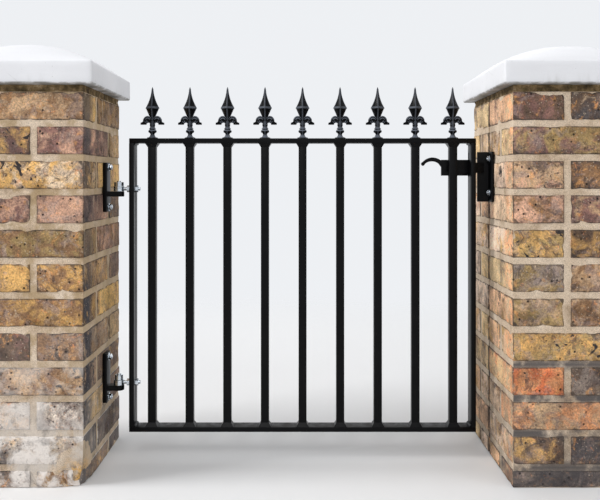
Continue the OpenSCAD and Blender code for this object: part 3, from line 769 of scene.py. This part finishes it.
def build_mortar(side, settings, low, high):
    """Mortar body of one pier, just behind the brick faces, with uneven pointing."""
    pier = PIERS[side]
    inset = settings.mortar_depth
    pitch = settings.brick_height + settings.joint
    beds = [high.z + settings.joint / 2 - pitch * k for k in DARK_BEDS]
    corner = Vector((high.x, low.y, MORTAR_HOLLOW))
    mortar = bmesh.new()
    for start, end in mortar_blocks(side, inset, low, high):
        part = bmesh.new()
        add_box(part, start, end)
        slice_up(part, start, end, MORTAR_CELL)
        layers = {name: part.verts.layers.float.new(name)
                  for name in ("soot", "chalk", "ochre", "dusk", "slate", "rubble")}
        for vert in part.verts:
            dirt = damp(vert.co.z, 1.3)
            dark = max(max(0.0, 1.0 - abs(vert.co.z - bed) / DARK_REACH) for bed in beds)
            marks = {"soot": pier["mortar_soot"] * dirt,
                     "chalk": 0.9 * pier["chalk"] * dirt,
                     "ochre": 0.9 * (1 - dirt) if side < 0 else 0.15,
                     "dusk": 0.8 if side < 0 else 0.0, "rubble": 0.0,
                     "slate": min(1.0, 1.6 * dark) if side > 0 else 0.0}
            for name, value in marks.items():
                vert[layers[name]] = value
            if side < 0:
                near = max(0.0, 1.0 - (vert.co - corner).length / CRUMBLE_REACH)
                crumb = near * (14 + 12 * noise.noise(vert.co * 50.0)) * MM
                vert[layers["rubble"]] = min(1.0, 1.8 * near)
                vert[layers["chalk"]] *= 1.0 - min(1.0, 1.5 * near)
                vert[layers["dusk"]] *= 1.0 - min(1.0, 1.5 * near)
                vert.co += Vector((-crumb, crumb, 0))
            sway = (1.4 * noise.noise(vert.co * 55.0) + 0.7 * noise.noise(vert.co * 190.0)) * MM
            draw_in(vert, start, end, max(-inset * 0.95, sway))
        join_into(mortar, part)
    make_piece(f"{pier['node']}_mortar", mortar, finish("mortar"), "posts", "brick", 50)


def draw_in(vert, low, high, distance):
    """Moves a point that lies on an upright face of a block inwards."""
    for i in range(2):
        if abs(vert.co[i] - low[i]) < ON_FACE:
            vert.co[i] += distance
        elif abs(vert.co[i] - high[i]) < ON_FACE:
            vert.co[i] -= distance


def build_bed(node):
    """Ragged mortar bed under a cap."""
    low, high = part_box(node)
    bed = bmesh.new()
    add_box(bed, low, high)
    slice_up(bed, low, high, BED_CELL)
    for vert in bed.verts:
        sway = 1.6 * (1 + noise.noise(vert.co * 70.0)) + noise.noise(vert.co * 210.0)
        hollow = 1.0 - abs(2 * (vert.co.z - low.z) / (high.z - low.z) - 1)
        draw_in(vert, low, high, sway * (0.3 + hollow) * MM)
    make_piece(node + "_pointing", bed, finish("bed"), "posts", "bed_mortar", 60, node)


def build_cap(node, settings):
    """Domed cap: a sliced box whose top swells both ways like a pillow, with worn arrises."""
    low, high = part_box(node)
    edge = low.z + CAP_EDGE
    corner = Vector((high.x, high.y, edge))
    cap = bmesh.new()
    add_box(cap, low, corner)
    slice_up(cap, low, corner, CAP_CELL)
    rise = high.z - edge
    middle = (low + high) / 2

    def arch(offset, half):
        radius = (half * half + rise * rise) / (2 * rise)
        return math.sqrt(max(0.0, radius * radius - offset * offset)) - (radius - rise)

    half = (high - low) / 2
    for vert in cap.verts:
        if abs(vert.co.z - edge) < ON_FACE:
            off = vert.co - middle
            vert.co.z += arch(off.x, half.x) * arch(off.y, half.y) / rise
    round_edges(cap, settings.arris, 3, 35.0)
    for vert in cap.verts:
        wave = 0.9 * noise.noise(vert.co * 9.0) + 0.5 * noise.noise(vert.co * 34.0)
        vert.co += (middle - vert.co).normalized() * (1.4 + wave) * MM
    make_piece(node + "_render", cap, finish("cap"), "posts", "cap_render", 55, node)


# Ironwork

BARS = range(1, 10)

# Railhead, measured across from its middle and up from its foot: the arch under a leaf as it is
# and as it becomes, how far out of the arch its surroundings follow, and the leaf's levels
ARCH, ARCH_RADIUS = Vector((12.2 * MM, 33.5 * MM)), 8.5 * MM
SMALL_ARCH, SMALL_ARCH_RADIUS = Vector((10.4 * MM, 34.5 * MM)), 5.3 * MM
ARCH_PULL = (14 * MM, 9.2 * MM)
NECK_RADIUS = 4.9 * MM
LEAF_LEVELS = (31 * MM, 54 * MM)
# Its leaves' tips: where they grow, from and to, and how much they rise, sink and widen
TIP_FROM, TIP_TO = 19 * MM, 27 * MM
TIP_FOOT, TIP_TOP = (36.2 * MM, 37.1 * MM), 46 * MM
TIP_RISE, TIP_SINK, TIP_WIDEN = 2.4 * MM, 1.3 * MM, 1.6 * MM
SINKING_FROM = 14 * MM
# The foot of its spear: level and reach of the swelling, and its radius and share
WAIST_LEVEL, WAIST_REACH, WAIST_RADIUS, WAIST_SWELL = 58 * MM, 8 * MM, 9 * MM, 0.42

# Curl of the latch handle, measured from the latch pivot, with the angle of its tip, how much it
# slims there, and the corner of its root that moves down the plate
CURL, CURL_RADIUS = Vector((-48.8 * MM, -9 * MM)), 30 * MM
CURL_TOP, CURL_TIP, CURL_SLIM = math.radians(90), math.radians(142), 0.27
CURL_ROOT, ROOT_REACH = Vector((-31.1 * MM, 8.7 * MM)), 1.45 * MM
ROOT_SHIFT = Vector((4.1 * MM, -6.3 * MM))

# Beads of weld: their length short of the frame's depth, and the rings round the railheads' feet
BEAD_SHORT = 4 * MM
RING_RADIUS, RING_THICKNESS = 13.4 * MM, 0.9 * MM

# Washers, the bolts' ends and the bolts' places on their plates
WASHER_RADIUS, WASHER_THICKNESS = 9.5 * MM, 1.6 * MM
BOLT_END = 1.8 * MM
HINGE_PLATE = 10 * MM
KEEP_PLATE, KEEP_NUT = 6 * MM, 4.2 * MM
KEEP_BOLT_ACROSS = 23.5 * MM
KEEP_BOLT_LEVELS = (108 * MM, 23 * MM)


def ease(value, low, high):
    """0 at low, 1 at high and smooth between."""
    share = max(0.0, min(1.0, (value - low) / (high - low)))
    return share * share * (3 - 2 * share)


def fill_out_railhead(bm, low, high):
    """Smaller arches under the leaves, thicker tips and a wider spear foot, as cast ones have.

    It also marks how far each point lies from the middle, for the finish.
    """
    middle = (low + high) / 2
    across = bm.verts.layers.float.new("across")
    deep = bm.verts.layers.float.new("deep")
    for vert in bm.verts:
        side = vert.co.x - middle.x
        y = vert.co.y - middle.y
        spot = Vector((abs(side), vert.co.z - low.z))
        if spot.x > NECK_RADIUS and LEAF_LEVELS[0] < spot.y < LEAF_LEVELS[1]:
            arm = spot - ARCH
            pulled = SMALL_ARCH + arm.normalized() * (SMALL_ARCH_RADIUS + arm.length - ARCH_RADIUS)
            spot = spot.lerp(pulled, ease(arm.length, *ARCH_PULL))
            over = ease(spot.y, *TIP_FOOT)
            outer = ease(spot.x, TIP_FROM, TIP_TO)
            if spot.y < TIP_TOP:
                y += math.copysign(TIP_WIDEN * outer, y) if abs(y) > 0.1 * MM else 0.0
                spot.y += TIP_RISE * outer * over
            if spot.x > SINKING_FROM:
                spot.y -= TIP_SINK * (1 - over)
        if math.hypot(spot.x, y) < WAIST_RADIUS:
            wider = 1 + WAIST_SWELL * max(0.0, 1 - abs(spot.y - WAIST_LEVEL) / WAIST_REACH)
            spot.x *= wider
            y *= wider
        vert.co = Vector((middle.x + math.copysign(spot.x, side), middle.y + y, low.z + spot.y))
        vert[across] = vert.co.x - middle.x
        vert[deep] = y


def slim_curl(bm, low, high):
    """Tapers the handle's curl to its tip and runs its root down the edge of the plate."""
    pivot_low, pivot_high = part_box("latch_pivot")
    pivot = (pivot_low + pivot_high) / 2
    middle = (low.y + high.y) / 2
    for vert in bm.verts:
        spot = Vector((vert.co.x - pivot.x, vert.co.z - pivot.z))
        y = vert.co.y - middle
        arm = spot - CURL
        if spot.x < CURL.x:
            turn = math.atan2(arm.y, arm.x)
            slim = 1 - CURL_SLIM * ease(turn, CURL_TOP, CURL_TIP)
            turn = min(turn, CURL_TIP) + slim * max(0.0, turn - CURL_TIP)
            reach = CURL_RADIUS + slim * (arm.length - CURL_RADIUS)
            spot = CURL + reach * Vector((math.cos(turn), math.sin(turn)))
            y *= slim
        elif (spot - CURL_ROOT).length < ROOT_REACH:
            spot += ROOT_SHIFT
        vert.co = Vector((pivot.x + spot.x, middle + y, pivot.z + spot.y))


def softened_copy(node, material, body, radius, change=None):
    """A copy of a black CAD node with its flat faces joined and its arrises rounded."""
    bm = bmesh.new()
    bm.from_mesh(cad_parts[node].data)
    bmesh.ops.remove_doubles(bm, verts=bm.verts, dist=2e-6)
    bmesh.ops.dissolve_limit(bm, angle_limit=math.radians(0.6), verts=bm.verts, edges=bm.edges,
                             delimit={"NORMAL"})
    round_edges(bm, radius, angle=40.0)
    if change:
        change(bm, *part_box(node))
    make_piece(node + "_iron", bm, material, body, "black_paint", 32, node)


def weld_beads(settings):
    """Round beads of weld in the frame's inner corners."""
    left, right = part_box("hinge_stile"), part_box("latch_stile")
    upper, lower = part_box("top_rail"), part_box("bottom_rail")
    beads = bmesh.new()
    depth = left[1].y - left[0].y - BEAD_SHORT
    middle = (left[0].y + left[1].y) / 2
    for x in (left[1].x, right[0].x):
        for z in (upper[0].z, lower[1].z):
            place = Matrix.Translation((x, middle, z)) @ Matrix.Rotation(math.pi / 2, 4, "X")
            made = add_round(beads, 20, settings.weld, settings.weld, depth, place)
            edges = [e for e in edges_of(made) if e.calc_length() > depth / 2]
            bmesh.ops.subdivide_edges(beads, edges=edges, cuts=14, use_grid_fill=True)
    roughen(beads, 0.6 * MM, 160)
    make_piece("frame_corner_welds", beads, finish("iron"), "gate", "black_paint", 40)


def foot_welds():
    """Rings of weld round the railheads' feet."""
    rings = bmesh.new()
    for i in BARS:
        low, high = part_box(f"finial_{i}")
        centre = (low + high) / 2
        centre.z = low.z + 0.2 * MM
        place = Matrix.Translation(centre + Vector((RING_RADIUS, 0, 0)))
        start = bmesh.ops.create_circle(
            rings, segments=8, radius=RING_THICKNESS,
            matrix=place @ Matrix.Rotation(math.pi / 2, 4, "X"))["verts"]
        bmesh.ops.spin(rings, geom=start + edges_of(start), cent=centre, axis=(0, 0, 1),
                       angle=2 * math.pi, steps=40, use_merge=True)
    roughen(rings, 0.4 * MM, 260)
    make_piece("railhead_foot_welds", rings, finish("iron"), "gate", "black_paint", 60)


def add_bolt(bm, spot, way, turn, flats, height):
    """Washer, hexagon nut and rounded end of a bolt that points along X, forwards or back."""
    place = (Matrix.Translation(spot) @ Matrix.Rotation(way * math.pi / 2, 4, "Y")
             @ Matrix.Rotation(turn, 4, "Z"))
    radius = flats / math.sqrt(3)
    rounds = [
        (32, WASHER_RADIUS, WASHER_RADIUS, WASHER_THICKNESS, WASHER_THICKNESS / 2, 0.4 * MM),
        (6, radius, radius, height, WASHER_THICKNESS + height / 2, 0.8 * MM),
        (24, radius * 0.52, radius * 0.46, BOLT_END, WASHER_THICKNESS + height + 0.8 * MM,
         0.5 * MM),
    ]
    for *shape, level, width in rounds:
        verts = add_round(bm, *shape, place @ Matrix.Translation((0, 0, level)))
        round_edges(bm, width, angle=35.0, edges=edges_of(verts))


def hinge_bolts(settings):
    """Two bolts on each hinge plate."""
    bolts = bmesh.new()
    for node in ("upper_hinge_bracket", "lower_hinge_bracket"):
        low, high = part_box(node)
        middle = (low + high) / 2
        for turn, side in ((0.2, 1), (0.6, -1)):
            spot = (low.x + HINGE_PLATE, middle.y, middle.z + side * settings.spacing / 2)
            add_bolt(bolts, spot, 1, turn, settings.flats, settings.head)
    make_piece("hinge_plate_bolts", bolts, finish("zinc"), "posts", "zinc", 35)


def keep_bolts(settings):
    """Two bolts on the keep."""
    bolts = bmesh.new()
    low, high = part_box("latch_keep")
    for turn, level in zip((0.35, 0.1), KEEP_BOLT_LEVELS):
        spot = (high.x - KEEP_PLATE, low.y + KEEP_BOLT_ACROSS, low.z + level)
        add_bolt(bolts, spot, -1, turn, settings.flats, KEEP_NUT)
    make_piece("keep_bolts", bolts, finish("zinc"), "posts", "zinc", 35)


# Stage

# Each lamp: name, place, where it points, size and power
LAMPS = [
    ("key", (-6.5, -1.5, 4.9), (0, 0, 0.5), (3.0, 3.0), 417),
    ("front", (-0.6, -3.8, 3.6), (0, 0, 0.6), (1.3, 1.3), 38),
    ("side", (4.6, -2.4, 2.2), (0, 0, 0.4), (2.4, 2.4), 26),
    ("back", (0.5, 4.0, 3.6), (0, 0, 0.6), (4.0, 3.0), 40),
]
# The floor's half side, how far it lies under the gate, and where it fades, from and to
FLOOR_SIZE, FLOOR_DROP = 30.0, 0.5 * MM
FLOOR_FADE = (1.5, 2.9)
# The camera's place and sensor, and, in pixels of a picture this wide, its focal length and shift
CAMERA_PLACE = (0.0085, -1.950, 0.700)
SENSOR_WIDTH = 36
PICTURE_WIDTH = 600
FOCAL_PIXELS = 770
SHIFT_PIXELS = (-2, -70)


def lay_floor():
    """A pale floor that fades into the background."""
    ground = bmesh.new()
    bmesh.ops.create_grid(ground, x_segments=1, y_segments=1, size=FLOOR_SIZE,
                          matrix=Matrix.Translation((0, 0, -FLOOR_DROP)))
    pale = Finish("pale_floor", specular=0.1)
    pale.set("Base Color", (0.80, 0.80, 0.80))
    pale.set("Roughness", 0.9)
    away = pale.node("ShaderNodeVectorMath", {"operation": "LENGTH"}, {0: pale.place}, "Value")
    solid = Value(pale, pale.shader.outputs["BSDF"])
    shown = pale.node("ShaderNodeMixShader", {}, {
        0: away.step(*FLOOR_FADE), 1: solid, 2: pale.node("ShaderNodeBsdfTransparent")})
    pale.feed(pale.find("OUTPUT_MATERIAL").inputs["Surface"], shown)
    add_object("floor", ground, pale.material)


def light_world(scene):
    """An even sky that the camera, metal and glass see paler than it lights."""
    world = bpy.data.worlds.new("studio")
    scene.world = world
    world.use_nodes = True
    air = Nodes(world.node_tree)
    background = air.find("BACKGROUND")
    air.feed(background.inputs["Color"], (0.95, 0.97, 1.0))
    camera, glossy, through = (air.node("ShaderNodeLightPath", output=f"Is {ray} Ray")
                               for ray in ("Camera", "Glossy", "Transmission"))
    air.feed(background.inputs["Strength"], 0.62 + 0.28 * (camera + glossy + through))


def area_light(scene, name, place, target, size, power):
    """A lamp that shines from a rectangle."""
    light = bpy.data.lights.new(name, "AREA")
    light.shape = "RECTANGLE"
    light.size, light.size_y = size
    light.energy = power
    lamp = bpy.data.objects.new(name, light)
    lamp.location = place
    lamp.rotation_euler = (Vector(target) - Vector(place)).to_track_quat("-Z", "Y").to_euler()
    scene.collection.objects.link(lamp)


def place_camera(scene):
    """The camera, level and in front of the gate, with its lens shifted down."""
    lens = bpy.data.cameras.new("camera")
    lens.sensor_width = SENSOR_WIDTH
    lens.lens = SENSOR_WIDTH * FOCAL_PIXELS / PICTURE_WIDTH
    lens.shift_x, lens.shift_y = (pixels / PICTURE_WIDTH for pixels in SHIFT_PIXELS)
    camera = bpy.data.objects.new("camera", lens)
    camera.location = CAMERA_PLACE
    camera.rotation_euler = (math.pi / 2, 0, 0)
    scene.collection.objects.link(camera)
    scene.camera = camera


# Operators

class GATE_OT_stage(Operator):
    """Set the floor, the lights and the camera"""
    bl_idname = "gate.stage"
    bl_label = "Stage"

    def execute(self, context):
        scene = context.scene
        scene.view_settings.view_transform = "Standard"
        lay_floor()
        light_world(scene)
        for lamp in LAMPS:
            area_light(scene, *lamp)
        place_camera(scene)
        return {"FINISHED"}


class GATE_OT_piers(Operator):
    """Lay the bricks and mortar of both piers"""
    bl_idname = "gate.piers"
    bl_label = "Brick piers"

    def execute(self, context):
        for side in PIERS:
            build_pier(side, context.scene.gate_piers)
        for node in ("left_cap_bedding", "right_cap_bedding"):
            build_bed(node)
        return {"FINISHED"}


class GATE_OT_caps(Operator):
    """Shape the painted caps"""
    bl_idname = "gate.caps"
    bl_label = "Pier caps"

    def execute(self, context):
        for node in ("left_pier_cap", "right_pier_cap"):
            build_cap(node, context.scene.gate_caps)
        return {"FINISHED"}


class GATE_OT_ironwork(Operator):
    """Paint the ironwork, round the arrises of its bars and weld its corners"""
    bl_idname = "gate.ironwork"
    bl_label = "Ironwork"

    def execute(self, context):
        settings = context.scene.gate_iron
        iron = finish("iron")
        arris = settings.arris
        rails = ["top_rail", "bottom_rail", "hinge_stile", "latch_stile"]
        for node in rails + [f"bar_{i}" for i in BARS]:
            softened_copy(node, iron, "gate", arris)
        softened_copy("latch_lever", iron, "latch", arris * 0.8, slim_curl)
        for node in ("upper_hinge_bracket", "lower_hinge_bracket", "latch_keep"):
            softened_copy(node, iron, "posts", arris)
        for i in BARS:
            softened_copy(f"finial_{i}", finish("casting"), "gate", arris * 0.45,
                          fill_out_railhead)
        for name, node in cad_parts.items():
            if not node.hide_render:
                plated = "pin" in name or "eye" in name
                node.data.materials.clear()
                node.data.materials.append(finish("zinc") if plated else iron)
        weld_beads(settings)
        foot_welds()
        return {"FINISHED"}


class GATE_OT_fixings(Operator):
    """Add the bolts of the hinge plates and the keep"""
    bl_idname = "gate.fixings"
    bl_label = "Bolts"

    def execute(self, context):
        hinge_bolts(context.scene.gate_fixings)
        keep_bolts(context.scene.gate_fixings)
        return {"FINISHED"}


class GATE_PT_sidebar(Panel):
    """Gate builder"""
    bl_idname = "GATE_PT_sidebar"
    bl_label = "Gate"
    bl_space_type = "VIEW_3D"
    bl_region_type = "UI"
    bl_category = "Gate"

    def draw(self, context):
        for group, kind in GROUPS.items():
            box = self.layout.box()
            for name in kind.__annotations__:
                box.prop(getattr(context.scene, group), name)
        for operator in OPERATORS:
            self.layout.operator(operator.bl_idname)


OPERATORS = (GATE_OT_stage, GATE_OT_piers, GATE_OT_caps, GATE_OT_ironwork, GATE_OT_fixings)
GROUPS = {"gate_piers": PierSettings, "gate_caps": CapSettings, "gate_iron": IronSettings,
          "gate_fixings": FixingSettings}


def register():
    for cls in (*GROUPS.values(), *OPERATORS, GATE_PT_sidebar):
        bpy.utils.register_class(cls)
    for name, group in GROUPS.items():
        setattr(bpy.types.Scene, name, PointerProperty(type=group))


def unregister():
    for name in GROUPS:
        delattr(bpy.types.Scene, name)
    for cls in reversed((*GROUPS.values(), *OPERATORS, GATE_PT_sidebar)):
        bpy.utils.unregister_class(cls)


def main():
    register()
    bpy.ops.gate.stage()
    bpy.ops.gate.piers()
    bpy.ops.gate.caps()
    bpy.ops.gate.ironwork()
    bpy.ops.gate.fixings()


if __name__ == "__main__":
    main()
